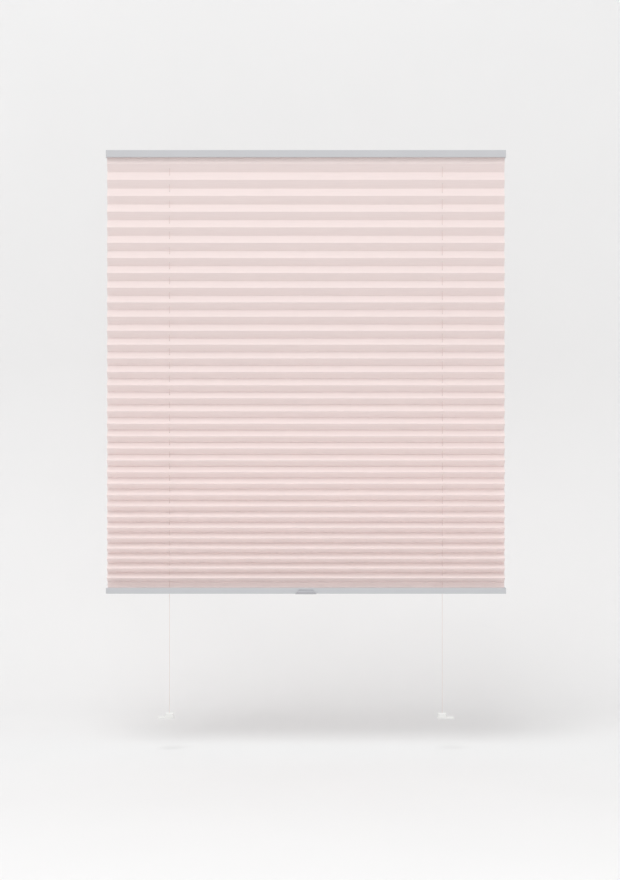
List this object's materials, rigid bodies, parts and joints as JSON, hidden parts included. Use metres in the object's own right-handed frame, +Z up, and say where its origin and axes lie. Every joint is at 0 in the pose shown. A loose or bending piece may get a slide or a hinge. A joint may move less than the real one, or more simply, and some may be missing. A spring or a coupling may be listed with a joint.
{
  "type": "pleated blind",
  "caption": "Tensioned pleated blind for a window sash: pale pink pleated cloth between a fixed head rail and a sliding bottom rail on taut cords.",
  "frame": {"origin": "middle of the head rail's top face, between its two fixing holes", "axes": "+X to the right along the rails, +Y to the back towards the glass, +Z up"},
  "size_m": [0.878, 0.0301, 1.248],
  "materials": {
    "rail_coating": "satin powder coat, light grey white",
    "strip_aluminium": "mill finish",
    "pleated_cloth": "pale blush pink woven polyester, pleated",
    "cap_plastic": "moulded, matching the rails",
    "shoe_plastic": "moulded, white",
    "guide_plastic": "moulded, natural white",
    "steel": "bright drawn",
    "sleeve_brass": "nickel free turned brass",
    "cord_braid": "braided polyester, blush white",
    "grip_plastic": "moulded, grey tinted"
  },
  "bodies": {
    "fixed_parts": {"cord_sleeve_left": "sleeve_brass", "cord_sleeve_right": "sleeve_brass", "cord_stop_left": "sleeve_brass", "cord_stop_right": "sleeve_brass", "head_cap_left": "cap_plastic", "head_cap_right": "cap_plastic", "head_cord_guide_left": "guide_plastic", "head_cord_guide_right": "guide_plastic", "head_cord_left": "cord_braid", "head_cord_right": "cord_braid", "head_pins": "steel", "head_rail": "rail_coating", "head_strip": "strip_aluminium", "lower_cord_left": "cord_braid", "lower_cord_right": "cord_braid", "pleated_fabric": "pleated_cloth", "rail_screws": "steel", "shoe_block_left": "shoe_plastic", "shoe_block_right": "shoe_plastic", "shoe_foot_left": "shoe_plastic", "shoe_foot_right": "shoe_plastic", "spring_anchor_left": "guide_plastic", "spring_anchor_right": "guide_plastic", "tension_spring_left": "steel", "tension_spring_right": "steel", "upper_cord_left": "cord_braid", "upper_cord_right": "cord_braid"},
    "sliding_rail": {"bottom_cap_left": "cap_plastic", "bottom_cap_right": "cap_plastic", "bottom_cord_guide_left": "guide_plastic", "bottom_cord_guide_right": "guide_plastic", "bottom_pins": "steel", "bottom_rail": "rail_coating", "bottom_strip": "strip_aluminium", "crossing_cord_left": "cord_braid", "crossing_cord_right": "cord_braid", "finger_grip": "grip_plastic"}
  },
  "joints": [
    {"name": "bottom_rail_travel", "type": "slide", "parent": "fixed_parts", "child": "sliding_rail", "axis": [0, 0, 1], "range_m": [-0.261, 0.895], "deforming": ["pleated_fabric", "upper_cord_left", "upper_cord_right", "lower_cord_left", "lower_cord_right"]}
  ]
}
